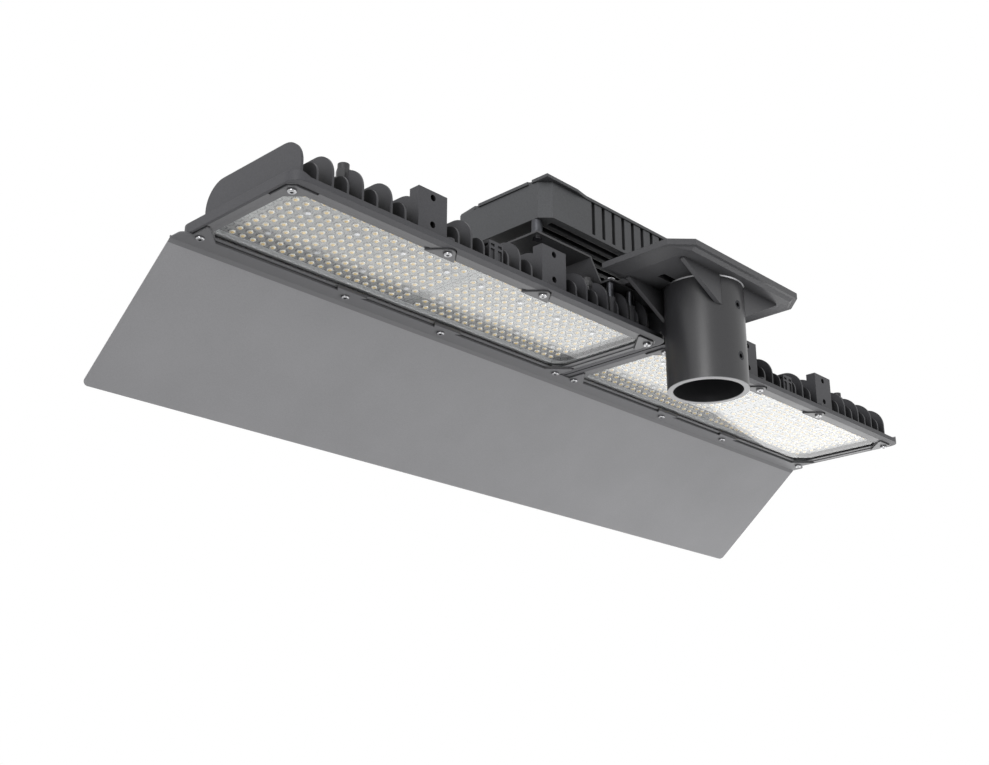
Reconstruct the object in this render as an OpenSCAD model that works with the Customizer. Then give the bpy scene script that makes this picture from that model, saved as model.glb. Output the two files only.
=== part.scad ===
// Sports flood light: two finned LED modules side by side, one long glare visor,
// a pole socket with its tray, and a driver on two brackets over the modules.
// Origin: centre of the socket's mouth. +Z is up along the pole, X along the light,
// +Y from the pole towards the modules and the visor. Sizes are in millimetres.

/* [Pole socket] */
// Outer diameter of the pole or tenon
pole_d = 60.3; // [58:0.1:62]
// Free space between pole and bore, on the radius
pole_gap = 0.35; // [0.1:0.05:0.5]
// Wall of the socket tube
tube_wall = 5; // [4:0.5:6]
// Depth of the socket, mouth to tray
tube_depth = 94.7; // [90:0.1:110]
// Thread diameter of the set screws
set_d = 8; // [6:1:8]
// Height of the lower set screw above the mouth
set_low_z = 23.5; // [20:0.5:30]
// Height of the upper set screw above the mouth
set_high_z = 71; // [60:0.5:74]
// Thickness of a gusset
gusset_t = 4; // [3:0.5:5]
// Reach of a gusset along the tray, from the bore axis
gusset_reach = 71; // [60:1:73]
// Height of a gusset under the tray
gusset_h = 27.5; // [25:0.5:40]
// Distance of a gusset's middle plane from the bore axis
gusset_offset = 28.9; // [26:0.1:30]

/* [Socket tray] */
// Length of the tray along the light
tray_l = 190.5; // [184:0.5:204]
// Width of the tray
tray_w = 86.5; // [86:0.5:96]
// Cut of the tray's near corners
tray_cut = 17; // [8:1:18]
// Height of the tray's edge
tray_edge = 5.4; // [5:0.1:8]
// Drop of the tray's underside below its edge, at the tube
tray_drop = 2.2; // [1.5:0.1:3]
// Distance of the tray's middle behind the bore axis
tray_back = 5.5; // [4:0.1:6]
// Diameter of the hole for the pole's cable
cable_hole_d = 22; // [16:1:30]

/* [Hub plate] */
// Thickness of the hub plate
hub_t = 6; // [5:0.5:8]
// Half width of the hub plate
hub_half_l = 46; // [42:1:54]
// Diameter of the studs that carry the modules
stud_d = 5; // [4:1:5]

/* [LED modules] */
// Distance between the middles of the two modules
module_pitch = 431.94; // [428:0.01:444]
// Gap between the two modules
module_gap = 1.4; // [0.8:0.1:3]
// Distance from the bore axis to the modules' centreline
reach = 108.7; // [108:0.1:114]
// Length of the spacers between the modules and the bracket feet
stud_spacer_l = 14.6; // [12:0.1:17]
// LEDs along one board
led_cols = 19; // [17:1:19]
// LEDs across one board
led_rows = 10; // [8:1:10]
// LED pitch along the light
led_pitch_x = 9.54; // [9.4:0.01:9.7]
// LED pitch across the light
led_pitch_y = 9.51; // [9.3:0.01:9.6]
// Radius of one lens dome
dome_r = 3.5; // [3:0.1:4]
// Height of one lens dome
dome_h = 1.6; // [1.2:0.1:1.8]
// Thickness of a lens plate
lens_t = 1.2; // [1:0.1:1.5]
// Thickness of an LED board
board_t = 1.2; // [1:0.1:1.6]

/* [Window] */
// Thickness of the glass
glass_t = 3; // [2.5:0.1:4]
// Thickness of the glass gasket
gasket_t = 1; // [0.8:0.1:1.5]
// Thickness of the bezel at its straight runs
bezel_t = 2; // [1.5:0.1:3]
// Height of the bezel's ears above its straight runs
ear_h = 1.2; // [1:0.1:1.5]
// Thread diameter of the bezel screws
screw_d = 4; // [3:1:5]
// Head diameter of the bezel screws
head_d = 7.2; // [6.5:0.1:8]

/* [Heat sink] */
// Tall fins from the middle to one end plate
fins_per_half = 7; // [6:1:8]
// Thickness of a fin
fin_t = 2; // [1.6:0.1:2.6]
// Height of the tall fins and end plates above the ear faces
tall_fin_z = 44; // [42:0.1:44.3]
// Height of the short fins above the ear faces
short_fin_z = 31; // [28:0.1:32]
// Corner radius of the tall fins
tall_fin_r = 21; // [14:0.5:22]
// Corner radius of the short fins
short_fin_r = 12.7; // [8:0.1:14]
// Reach of the fins towards the pole, from the centreline
fin_near = 59.6; // [58:0.1:62]
// Reach of the fins towards the visor, from the centreline
fin_far = 55.2; // [54:0.1:60]
// Ledge of the flange in front of the fins
side_ledge = 10.9; // [9:0.1:13]
// Corner radius of the flange
flange_r = 12; // [8:0.5:12]
// Thickness of the flange
flange_t = 4.3; // [3.5:0.1:5]
// Metal between the LED boards and the fins
floor_t = 2.4; // [2:0.1:4]
// Height of the mounting lugs above the ear faces
lug_z = 47.4; // [45:0.1:50]
// Depth of a mounting lug
lug_d = 10.3; // [8:0.1:12]
// Drill diameter of the lug holes
lug_hole_d = 5.5; // [4:0.1:6]
// Height of the lower lug hole above the ear faces
lug_hole_z = 18.7; // [17:0.1:20]
// Distance between a lug's two holes
lug_hole_gap = 23; // [18:0.1:24]

/* [Visor] */
// Length of the visor beyond each module's end
visor_over = 6; // [3:0.1:12]
// Thickness of the visor's sheet
visor_t = 1.2; // [1:0.1:1.2]
// Width of the visor's sloping sheet
visor_drop = 141.8; // [100:0.1:170]
// Angle of the sheet below the horizontal
visor_angle = 39.8; // [30:0.1:60]
// Distance from the modules' centreline to the bend
visor_bend_y = 71; // [70:0.1:76]
// Radius of the visor's free corners
visor_r = 5; // [2:0.5:10]

/* [Driver] */
// Length of the driver housing
driver_l = 292; // [280:1:300]
// Width of the driver housing
driver_w = 104; // [96:1:110]
// Height of the driver housing without its lid
driver_h = 34.6; // [34:0.1:42]
// Wall of the driver housing
driver_wall = 3; // [2:0.1:4]
// Corner chamfer of the driver housing
driver_chamfer = 9.5; // [6:0.5:12]
// Thickness of the driver's lid
lid_t = 3; // [2:0.1:4]
// Cooling grooves along each long side
groove_n = 12; // [8:1:13]
// Pitch of the cooling grooves
groove_pitch = 14.2; // [12:0.1:15]
// Width of a cooling groove
groove_w = 4.5; // [3:0.1:6]
// Depth of a cooling groove
groove_d = 2.6; // [1.5:0.1:3]
// Channels under the driver housing
channel_n = 9; // [6:1:10]
// Depth of the channels under the driver housing
channel_d = 4.5; // [3:0.1:5]
// Height of the spacers under the driver
spacer_h = 14; // [10:0.5:16]
// Thickness of the bracket sheet
bracket_t = 2; // [1.5:0.1:2.5]
// Rise of the bracket from its foot to its table
bracket_rise = 20.7; // [16:0.1:24]

/* [Hidden] */

$fn = 48;
tiny = 0.01;
// Radial clearance of a thread in its hole
thread_gap = 0.05;
// Radial clearance of a screw in a plain hole
hole_gap = 0.4;
// Clearance of a part in its pocket
seat_gap = 0.5;

// Socket
bore_r = pole_d/2 + pole_gap;
tube_r = bore_r + tube_wall;
set_l = tube_wall - 0.5;
set_screw_sunk = 0.25;
weld_leg = 0.9;
tray_z = tube_depth + tray_drop;
tray_top = tray_z + tray_edge;
tray_lip = 3;
slope_end = 17;
slope_side = 3.5;
slot_l = 20;
slot_w = 7;
slot_x = 43;
slot_y = 6.5;
grommet_lip = 2.5;
grommet_t = 1.5;
grommet_sunk = 0.3;

// LED boards, lens plates and the cavity that holds them
seam = 0.6;
first_col = 10.35;
end_margin = 19.7;
row_margin = 4;
board_cut = 6.5;
board_end = first_col + (led_cols - 1)*led_pitch_x + end_margin;
board_half_w = (led_rows - 1)/2*led_pitch_y + row_margin;
boss_cols = [1, 6, 11, 16];
boss_rows = [2, led_rows - 3];
chip_w = 3;
chip_h = 0.6;
lens_screw_d = 2.5;
lens_head_d = 4.6;
lens_head_h = 1.2;
cavity_half_l = board_end + 1.3;
cavity_half_w = board_half_w + 3.4;

// Levels above the ear faces
rim_z = ear_h;
glass_z = rim_z + bezel_t;
gasket_z = glass_z + glass_t;
ledge_z = gasket_z + gasket_t;
lens_air = 0.4;
dome_z = gasket_z + lens_air;
lens_z = dome_z + dome_h;
board_z = lens_z + lens_t;
floor_z = board_z + board_t;
body_top = floor_z + floor_t;
flange_top = rim_z + flange_t;

// Window, glass, gasket and bezel outlines, as half sizes
window_half_l = board_end - 3.3;
window_half_w = cavity_half_w + 0.8;
window_cut = 7;
glass_half_l = cavity_half_l + 3.3;
glass_half_w = cavity_half_w + 4;
glass_cut = 10;
bezel_half_l = glass_half_l + 3;
bezel_half_w = glass_half_w + 8.1;
bezel_cut = 3.8;
flange_half_l = bezel_half_l + 2.2;
flange_half_w = fin_near + side_ledge;
groove_gap = 0.2;
ear_groove = 1.1;
ear_groove_d = bezel_t - 0.8;
bezel_step = 0.35*bezel_t;
step_end = 5.8;
step_side = 4.4;
slot_far_w = 1;
slot_far_d = bezel_t - 0.6;

// Bezel screws: four at the corners, four along the long sides
corner_x = bezel_half_l - 7.1;
corner_y = bezel_half_w - 7.5;
mid_x = 55;
mid_y = corner_y + 5.57;
ear_r = 6;
ear_foot = 16.1;
ear_inset = 1.3;
ear_cut = 5;
head_h = 2.2;
screw_l = 8.5;
screw_boss_d = 10.5;
screw_boss_top = screw_l + 2.6;

// Heat sink
end_plate_x = flange_half_l - 12.4 - fin_t/2;
fin_pitch = end_plate_x/fins_per_half;
shelf_z = flange_top + 4;
lug_in = 2*fin_pitch - fin_t/2;
lug_out = 3*fin_pitch + fin_t/2;
lug_hole_deep = 8;
stud_boss_d = 9;
stud_tray_gap = 19.4;
stud_y = min(fin_near - 8.1, reach - tray_w/2 + tray_back - stud_tray_gap);
stud_ys = [-stud_y, fin_far - stud_boss_d/2 - 0.2];
stud_boss_z = short_fin_z;
spacer_tube_d = 6.6;
vent_x = 5*fin_pitch;
vent_y = -36;
vent_boss_d = 12;
vent_boss_z = tall_fin_z - 6;
vent_hex_h = 8;
vent_space_d = 14.5;
outlet_w = 16;
outlet_d = 12;
outlet_z = 28.8;
outlet_slot_h = 2.4;

// Two modules and the visor
module_x = module_pitch/2;
flange_in_l = module_x - module_gap/2;
face_y = reach;
face_lift = tray_top - bracket_t - stud_spacer_l - stud_boss_z;
visor_half_l = module_x + flange_half_l + visor_over;

// Hub plate and brackets
hub_z = tray_top;
hub_back = -tray_back - tray_w/2 + 12;
hub_front = reach + fin_far + 6.8;
foot_z = hub_z - bracket_t;
table_z = foot_z + bracket_rise;
foot_in = 22;
foot_out = 65;
foot_half_w = 57;
table_in = 78;
table_half_w = 45;
spacer_d = 10;
spacer_x = driver_l/2 - spacer_d/2;
spacer_y = 37;
table_out = spacer_x + 9;
driver_bolt_d = 4;

// Driver
driver_z = table_z + bracket_t + spacer_h;
driver_top = driver_z + driver_h;
channel_w = 5.6;
channel_end = 16;
floor_driver = driver_wall + channel_d;
lid_end = 1.5;
lid_side = 1;
lid_lug_out = 3.5;
lid_lug_l = 40.5;
lid_lug_blend = 15;
lid_far_cut = 27;
lid_notch_w = 5;
lid_notch_y = [-34.8, 30.4];
lid_screw_d = 4;
lid_screw_x = [-driver_l/2 + 11, 0, driver_l/2 - 11];
lid_screw_y = driver_w/2 - 11;
driver_boss_d = 8.5;
gasket_w = 2.4;
gasket_cut = 2.5;
pcb_z = driver_z + floor_driver + 3.5;
pcb_t = 1.6;
pcb_half_l = driver_l/2 - 22;
pcb_half_w = driver_w/2 - 12;
inner_h = driver_top - pcb_z - pcb_t - 3;
block_w = 1.2*pcb_half_w;
gland_z = driver_z + 18;
gland_y = 28;
groove_first = -0.28*driver_l;

// One corner ear of the bezel, in its +X +Y quarter
ear_x = bezel_half_l - ear_inset;
ear_y = bezel_half_w - ear_inset;
ear_diag = window_half_l + window_half_w - window_cut + 0.8;
corner_ear = [
    [ear_diag - ear_y + 2.3, ear_y],
    [ear_diag - ear_y + 2.3, ear_y - 2.3],
    [ear_x - 2.3, ear_diag - ear_x + 2.3],
    [ear_x, ear_diag - ear_x + 2.3],
    [ear_x, ear_y - ear_cut],
    [ear_x - ear_cut, ear_y]];

// Rectangle with cut corners, by half sizes
module cut_rect(hx, hy, c) {
    polygon([[hx - c, hy], [hx, hy - c], [hx, c - hy], [hx - c, -hy],
        [c - hx, -hy], [-hx, c - hy], [-hx, hy - c], [c - hx, hy]]);
}

// Rectangle with round corners, by half sizes
module round_rect(hx, hy, r) {
    square([2*hx, 2*(hy - r)], center = true);
    square([2*(hx - r), 2*hy], center = true);
    for (x = [r - hx, hx - r], y = [r - hy, hy - r])
        translate([x, y]) circle(r);
}

// Fin outline across the light: flat foot, round shoulders
module fin_outline(z0, z1, r) {
    w = fin_near + fin_far;
    translate([-fin_near, z0]) square([w, z1 - r - z0]);
    translate([r - fin_near, z0]) square([w - 2*r, z1 - z0]);
    for (y = [r - fin_near, fin_far - r])
        translate([y, z1 - r]) circle(r);
}

// Sheet of thickness t that stands across the light
module across(t) {
    rotate([90, 0, 90]) linear_extrude(height = t, center = true) children();
}

// Profile in X and Z, drawn out to half width w along Y
module along_y(w) {
    rotate([90, 0, 0]) linear_extrude(height = 2*w, center = true) children();
}

// Puts a module's parts in place: side is -1 for left, 1 for right
module at_module(side) {
    translate([side*module_x, face_y, face_lift]) children();
}

// All eight screw places of one bezel, with their signs
module at_bezel_screws(ys = [-1, 1]) {
    for (sx = [-1, 1], sy = ys) {
        translate([sx*corner_x, sy*corner_y, 0]) children();
        translate([sx*mid_x, sy*mid_y, 0]) children();
    }
}

// Flat outline of the ears on the sides ys
module ears(ys) {
    for (sx = [-1, 1], sy = ys) {
        scale([sx, sy]) polygon(corner_ear);
        translate([sx*mid_x, sy*mid_y]) scale([1, sy]) mid_ear(ear_r);
    }
}

// The same with the groove round the ears' outer sides
module ear_grooves(ys) {
    g = ear_groove;
    for (sx = [-1, 1], sy = ys) {
        scale([sx, sy]) polygon([
            corner_ear[0] + [-g, g], corner_ear[1] + [-g, 0], corner_ear[1], corner_ear[2],
            corner_ear[3] + [-2.3, -g], corner_ear[3] + [g, -g],
            corner_ear[4] + [g, g*0.41], corner_ear[5] + [g*0.41, g]]);
        translate([sx*mid_x, sy*mid_y]) scale([1, sy]) mid_ear(ear_r + g);
    }
}

// Ear half way along a side: a round end of radius r with straight sides
module mid_ear(r) {
    foot = window_half_w - mid_y;
    half = ear_foot + r - ear_r;
    turn = atan2(foot, half) + acos(r/norm([half, foot]));
    circle(r);
    polygon([[-r*cos(turn), r*sin(turn)], [r*cos(turn), r*sin(turn)],
        [half, foot], [-half, foot]]);
}

module socket_tube() {
    color("dimgray") difference() {
        cylinder(r = tube_r, h = tube_depth);
        translate([0, 0, -1]) cylinder(r = bore_r, h = tube_depth + 2);
        for (z = [set_low_z, set_high_z])
            translate([0, -bore_r + 2, z]) rotate([90, 0, 0])
                cylinder(r = set_d/2 + thread_gap, h = tube_wall + 4);
    }
}

// Bead of weld round the tube's top, cut away at the gussets
module socket_weld() {
    color("silver") difference() {
        rotate_extrude($fn = 96) polygon([[tube_r, tube_depth - weld_leg],
            [tube_r + weld_leg, tube_depth], [tube_r, tube_depth]]);
        for (s = [-1, 1])
            translate([-tube_r - 5, s*gusset_offset - gusset_t/2, tube_depth - 5])
                cube([2*tube_r + 10, gusset_t, 10]);
    }
}

module socket_gussets() {
    color("dimgray") difference() {
        for (s = [-1, 1], m = [0, 1])
            translate([0, s*gusset_offset, 0]) mirror([m, 0, 0]) along_y(gusset_t/2)
                polygon([[0, tube_depth], [gusset_reach, tube_depth],
                    [gusset_reach, tube_depth - 1.5], [gusset_half_chord, tube_depth - gusset_h],
                    [0, tube_depth - gusset_h]]);
        translate([0, 0, -1]) cylinder(r = tube_r, h = tube_depth + 2);
    }
}
gusset_half_chord = sqrt(pow(tube_r, 2) - pow(gusset_offset, 2));

// Places of the four bolts that hold the tray to the hub plate
module at_tray_bolts() {
    for (x = [-1, 1], y = [-1, 1])
        translate([x*(hub_half_l - 11), y*(tray_w/2 - 20) - tray_back, 0]) children();
}

// Outline of the tray, shrunk by g: the near corners are cut
module tray_outline(g) {
    hx = tray_l/2 - g;
    hy = tray_w/2 - g;
    c = tray_cut - g*0.41;
    polygon([[-hx, hy], [-hx, c - hy], [c - hx, -hy], [hx - c, -hy], [hx, c - hy], [hx, hy]]);
}

module socket_tray() {
    color("dimgray") difference() {
        translate([0, -tray_back, 0]) union() {
            translate([0, 0, tray_z]) linear_extrude(height = tray_edge) tray_outline(0);
            tray_slope();
        }
        translate([0, 0, tube_depth - 1]) cylinder(d = cable_hole_d, h = tray_top - tube_depth + 2);
        translate([0, 0, tube_depth - 1])
            cylinder(r = cable_hole_d/2 + grommet_lip + 0.3, h = 1 + grommet_sunk + grommet_t);
        for (x = [-slot_x, slot_x])
            translate([x - slot_l/2, slot_y - slot_w/2, tube_depth - 1])
                cube([slot_l, slot_w, tray_top - tube_depth + 2]);
        at_tray_bolts() translate([0, 0, tray_top - 5])
            cylinder(r = 3 + thread_gap, h = 6);
    }
}

// Underside of the tray: it slopes from the edge down to the tube
module tray_slope() {
    hull() {
        translate([0, 0, tray_z]) linear_extrude(height = 1) tray_outline(tray_lip);
        translate([0, 0, tube_depth]) linear_extrude(height = 1)
            square([tray_l - 2*(tray_lip + slope_end), tray_w - 2*(tray_lip + slope_side)],
                center = true);
    }
}

// Rubber grommet in the tray's cable hole, its lip let into the tray's underside
module cable_grommet() {
    r = cable_hole_d/2;
    z = tube_depth + grommet_sunk;
    color("black") rotate_extrude() polygon([[r - 3, z], [r + grommet_lip, z],
        [r + grommet_lip, z + grommet_t], [r, z + grommet_t], [r, tray_top - 0.3],
        [r - 3, tray_top - 0.3]]);
}

// Set screw with a hexagon socket, flush in the tube's wall
module set_screw(z) {
    color("silver") translate([0, -tube_r + set_screw_sunk, z]) rotate([-90, 0, 0])
        difference() {
            cylinder(d = set_d, h = set_l);
            translate([0, 0, -1]) cylinder(d = set_d/2 + 0.6, h = set_l/2 + 1, $fn = 6);
        }
}
module set_screw_upper() { set_screw(set_high_z); }
module set_screw_lower() { set_screw(set_low_z); }

// Places of the studs that carry the modules, for the fin gaps ks
module at_studs(ks = [0.5, 1.5]) {
    for (s = [-1, 1], k = ks, y = stud_ys)
        translate([s*(module_x - end_plate_x + k*fin_pitch), face_y + y, 0]) children();
}

module hub_plate() {
    color("dimgray") difference() {
        translate([0, (hub_front + hub_back)/2, hub_z]) linear_extrude(height = hub_t)
            round_rect(hub_half_l, (hub_front - hub_back)/2, 8);
        translate([0, 0, hub_z - 1]) cylinder(d = cable_hole_d, h = hub_t + 2);
        at_studs([0.5]) translate([0, 0, hub_z - 1])
            cylinder(r = stud_d/2 + hole_gap, h = hub_t + 2);
        at_tray_bolts() translate([0, 0, hub_z - 1])
            cylinder(r = 3 + hole_gap, h = hub_t + 2);
    }
}

module tray_bolts() {
    color("silver") at_tray_bolts() {
        translate([0, 0, tray_top - 4.8]) cylinder(d = 6, h = hub_t + 4.8);
        translate([0, 0, hub_z + hub_t]) cylinder(d = 11.5, h = 4, $fn = 6);
    }
}

// Studs from the heat sinks up through bracket foot and hub plate
module hub_studs() {
    z = face_lift + stud_boss_z - 9;
    color("silver") at_studs([0.5]) translate([0, 0, z])
        cylinder(d = stud_d, h = hub_z + hub_t + 7 - z);
}

module stud_nuts() {
    color("silver") at_studs([0.5]) translate([0, 0, hub_z + hub_t]) difference() {
        cylinder(d = 9.2, h = 4, $fn = 6);
        translate([0, 0, -1]) cylinder(r = stud_d/2 + thread_gap, h = 6);
    }
}

// Low-headed screws through the outer part of the bracket feet
module foot_screws() {
    z = face_lift + stud_boss_z - 9;
    color("silver") at_studs([1.5]) difference() {
        union() {
            translate([0, 0, z]) cylinder(d = stud_d, h = hub_z - z);
            translate([0, 0, hub_z]) cylinder(d = 9, h = 1.5);
        }
        translate([0, 0, hub_z + 0.3]) cylinder(d = 3.4, h = 2, $fn = 6);
    }
}

// Tubes round studs and screws, between the heat sink's bosses and the bracket feet
module stud_spacers() {
    color("silver") at_studs() translate([0, 0, face_lift + stud_boss_z]) difference() {
        cylinder(d = spacer_tube_d, h = foot_z - face_lift - stud_boss_z);
        translate([0, 0, -1]) cylinder(r = stud_d/2 + 0.2, h = foot_z);
    }
}

// Finned heat sink; in points to the other module, where flange and studs reach further
module heat_sink(in) {
    color([0.33, 0.33, 0.34]) difference() {
        union() {
            translate([in*(flange_in_l - flange_half_l)/2, 0, rim_z])
                linear_extrude(height = flange_t)
                    round_rect((flange_in_l + flange_half_l)/2, flange_half_w, flange_r);
            translate([-end_plate_x, -fin_near, flange_top - 1])
                cube([2*end_plate_x, fin_near + fin_far, body_top - flange_top + 1]);
            intersection() {
                translate([0, 0, rim_z]) linear_extrude(height = tall_fin_z)
                    round_rect(flange_half_l, flange_half_w, flange_r);
                for (m = [0, 1]) mirror([m, 0, 0]) end_shelf();
            }
            tall_fins();
            short_fins();
            for (s = [-1, 1], m = [0, 1]) mirror([m, 0, 0]) lug(s);
            for (x = [-mid_x, mid_x], y = [-mid_y, mid_y])
                translate([x, y, rim_z]) cylinder(d = screw_boss_d, h = screw_boss_top - rim_z);
            for (y = stud_ys, k = [0.5, 1.5])
                translate([in*(end_plate_x - k*fin_pitch), y, floor_z + 1])
                    cylinder(d = stud_boss_d, h = stud_boss_z - floor_z - 1);
            for (s = [-1, 1])
                translate([s*vent_x, vent_y, floor_z + 1])
                    cylinder(d = vent_boss_d, h = vent_boss_z - floor_z - 1);
            wire_outlet();
        }
        window_pockets();
        lug_holes();
        at_bezel_screws() translate([0, 0, rim_z - 1])
            cylinder(r = screw_d/2 + thread_gap, h = screw_l + 0.8 - rim_z + 1);
        for (s = [-1, 1]) translate([s*vent_x, vent_y, 0]) {
            translate([0, 0, floor_z - 1]) cylinder(d = 4.5, h = tall_fin_z);
            translate([0, 0, vent_boss_z]) cylinder(d = vent_space_d, h = 10);
        }
        for (y = stud_ys, k = [0.5, 1.5])
            translate([in*(end_plate_x - k*fin_pitch), y, stud_boss_z - 9.5])
                cylinder(r = stud_d/2 + thread_gap, h = 12);
        at_lens_screws() translate([0, 0, floor_z - 1])
            cylinder(r = lens_screw_d/2 + thread_gap, h = 3);
    }
}

// Ledge at one end of the heat sink: it climbs from the rim to the end plate
module end_shelf() {
    translate([0, (fin_far - fin_near)/2, 0]) along_y((fin_near + fin_far)/2 - 1.5) polygon([
        [end_plate_x - 3, flange_top - 1], [flange_half_l, flange_top - 1],
        [flange_half_l, shelf_z], [flange_half_l - 5.8, shelf_z + 3.6],
        [end_plate_x, body_top + 2], [end_plate_x - 3, body_top + 2]]);
    along_y(flange_half_w) polygon([
        [end_plate_x, flange_top - 1], [flange_half_l, flange_top - 1],
        [flange_half_l, shelf_z], [flange_half_l - 5, shelf_z],
        [end_plate_x, flange_top]]);
}

// Tall fins, but none at the middle, where the cable comes out
module tall_fins() {
    for (k = [-fins_per_half : fins_per_half])
        if (k != 0) translate([k*fin_pitch, 0, 0]) across(fin_t)
            fin_outline(floor_z + 1, tall_fin_z, tall_fin_r);
}

module short_fins() {
    gaps = [for (k = [-fins_per_half : fins_per_half - 1]) k + 0.5];
    for (k = concat(gaps, [0]))
        translate([k*fin_pitch, 0, 0]) across(fin_t)
            fin_outline(floor_z + 1, short_fin_z, short_fin_r);
}

// Square mounting lug between two tall fins, on side s
module lug(s) {
    translate([lug_in, s > 0 ? fin_far - lug_d : -fin_near, flange_top - 1])
        cube([lug_out - lug_in, lug_d, lug_z - flange_top + 1]);
}

// Two drilled holes in each lug's face
module lug_holes() {
    for (x = [-1, 1], z = [lug_hole_z, lug_hole_z + lug_hole_gap]) {
        translate([x*(lug_in + lug_out)/2, lug_hole_deep - fin_near, z]) rotate([90, 0, 0])
            cylinder(d = lug_hole_d, h = lug_hole_deep + 1);
        translate([x*(lug_in + lug_out)/2, fin_far - lug_hole_deep, z]) rotate([-90, 0, 0])
            cylinder(d = lug_hole_d, h = lug_hole_deep + 1);
    }
}

// Boss for the cable at the middle of the near side, with slots under its rim
module wire_outlet() {
    difference() {
        translate([-outlet_w/2, -fin_near, flange_top - 1])
            cube([outlet_w, outlet_d, outlet_z - flange_top + 1]);
        for (m = [0, 1]) mirror([m, 0, 0]) {
            translate([2, -fin_near - 1, outlet_z - 5]) cube([outlet_w/2 - 3.5, 2.2, outlet_slot_h]);
            translate([outlet_w/2 - 1.2, 1.5 - fin_near, outlet_z - 5])
                cube([3, outlet_d - 4, outlet_slot_h]);
            translate([2, -fin_near - 1, flange_top])
                cube([outlet_w/2 - 3.5, 2.2, outlet_z - flange_top - 7]);
        }
    }
}

// Steps for bezel, glass and gasket, and the cavity for the boards
module window_pockets() {
    translate([0, 0, rim_z - 1]) linear_extrude(height = glass_z - rim_z + 1)
        cut_rect(bezel_half_l + groove_gap, bezel_half_w + groove_gap, bezel_cut);
    translate([0, 0, rim_z - 1]) linear_extrude(height = glass_z - rim_z + 1)
        ear_grooves([-1, 1]);
    translate([0, 0, glass_z - 1]) linear_extrude(height = ledge_z - glass_z + 1)
        cut_rect(glass_half_l + seat_gap, glass_half_w + seat_gap, glass_cut);
    translate([0, 0, ledge_z - 1]) linear_extrude(height = floor_z - ledge_z + 1)
        cut_rect(cavity_half_l, cavity_half_w, glass_cut);
}

module heat_sink_left() { at_module(-1) heat_sink(1); }
module heat_sink_right() { at_module(1) heat_sink(-1); }

// Place of LED column c and row r on the board at side s of a module
function led_x(c, s) = s*(first_col + c*led_pitch_x);
function led_y(r) = (r - (led_rows - 1)/2)*led_pitch_y;
function is_boss(c, r) = len(search(c, boss_cols)) > 0 && len(search(r, boss_rows)) > 0;

// Outline of board and lens plate: the two outer corners are cut
module board_outline(s) {
    scale([s, 1]) polygon([[seam/2, board_half_w], [board_end - board_cut, board_half_w],
        [board_end, board_half_w - board_cut], [board_end, board_cut - board_half_w],
        [board_end - board_cut, -board_half_w], [seam/2, -board_half_w]]);
}

// One board: white circuit board with a chip under each dome
module led_board(side, s) {
    at_module(side) color("white") difference() {
        union() {
            translate([0, 0, board_z]) linear_extrude(height = board_t) board_outline(s);
            for (c = [0 : led_cols - 1], r = [0 : led_rows - 1])
                if (!is_boss(c, r))
                    translate([led_x(c, s), led_y(r), board_z - chip_h/2])
                        cube([chip_w, chip_w, chip_h + tiny], center = true);
        }
        for (c = boss_cols, r = boss_rows)
            translate([led_x(c, s), led_y(r), board_z - 1])
                cylinder(r = lens_screw_d/2 + hole_gap, h = board_t + 2);
    }
}
module led_board_1() { led_board(-1, -1); }
module led_board_2() { led_board(-1, 1); }
module led_board_3() { led_board(1, -1); }
module led_board_4() { led_board(1, 1); }

// Shape of one dome, its flat side on the plate
module dome() {
    ball_r = (pow(dome_r, 2) + pow(dome_h, 2))/(2*dome_h);
    rotate_extrude($fn = 24) intersection() {
        translate([0, ball_r - dome_h]) circle(ball_r, $fn = 64);
        translate([0, -dome_h]) square([dome_r + 1, dome_h + 0.1]);
    }
}

// One lens plate: clear domes over the chips, flat pads at its screws
module lens_plate(side, s) {
    at_module(side) color("gainsboro") difference() {
        union() {
            translate([0, 0, lens_z]) linear_extrude(height = lens_t) board_outline(s);
            for (c = [0 : led_cols - 1], r = [0 : led_rows - 1])
                if (!is_boss(c, r))
                    translate([led_x(c, s), led_y(r), lens_z]) dome();
        }
        for (c = [0 : led_cols - 1], r = [0 : led_rows - 1])
            if (!is_boss(c, r))
                translate([led_x(c, s), led_y(r), board_z])
                    cube([chip_w + 0.6, chip_w + 0.6, 2*(chip_h + 0.2)], center = true);
        for (c = boss_cols, r = boss_rows)
            translate([led_x(c, s), led_y(r), lens_z - 1])
                cylinder(r = lens_screw_d/2 + hole_gap, h = lens_t + 2);
    }
}
module lens_plate_1() { lens_plate(-1, -1); }
module lens_plate_2() { lens_plate(-1, 1); }
module lens_plate_3() { lens_plate(1, -1); }
module lens_plate_4() { lens_plate(1, 1); }

// Places of the small screws that hold lens plate and board
module at_lens_screws() {
    for (s = [-1, 1], c = boss_cols, r = boss_rows)
        translate([led_x(c, s), led_y(r), 0]) children();
}

module lens_screws(side) {
    color("silver") at_module(side) at_lens_screws() {
        translate([0, 0, lens_z - lens_head_h]) cylinder(d = lens_head_d, h = lens_head_h);
        translate([0, 0, lens_z - 0.1]) cylinder(d = lens_screw_d, h = floor_z - lens_z + 1.8);
    }
}
module lens_screws_left() { lens_screws(-1); }
module lens_screws_right() { lens_screws(1); }

module glass_gasket(side) {
    color("black") at_module(side) translate([0, 0, gasket_z])
        linear_extrude(height = gasket_t) difference() {
            cut_rect(glass_half_l, glass_half_w, glass_cut);
            cut_rect(cavity_half_l + 0.6, cavity_half_w + 0.6, glass_cut);
        }
}
module glass_gasket_left() { glass_gasket(-1); }
module glass_gasket_right() { glass_gasket(1); }

module glass(side) {
    color([0.85, 0.95, 0.95, 0.35]) at_module(side) translate([0, 0, glass_z])
        linear_extrude(height = glass_t) cut_rect(glass_half_l, glass_half_w, glass_cut);
}
module glass_left() { glass(-1); }
module glass_right() { glass(1); }

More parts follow.
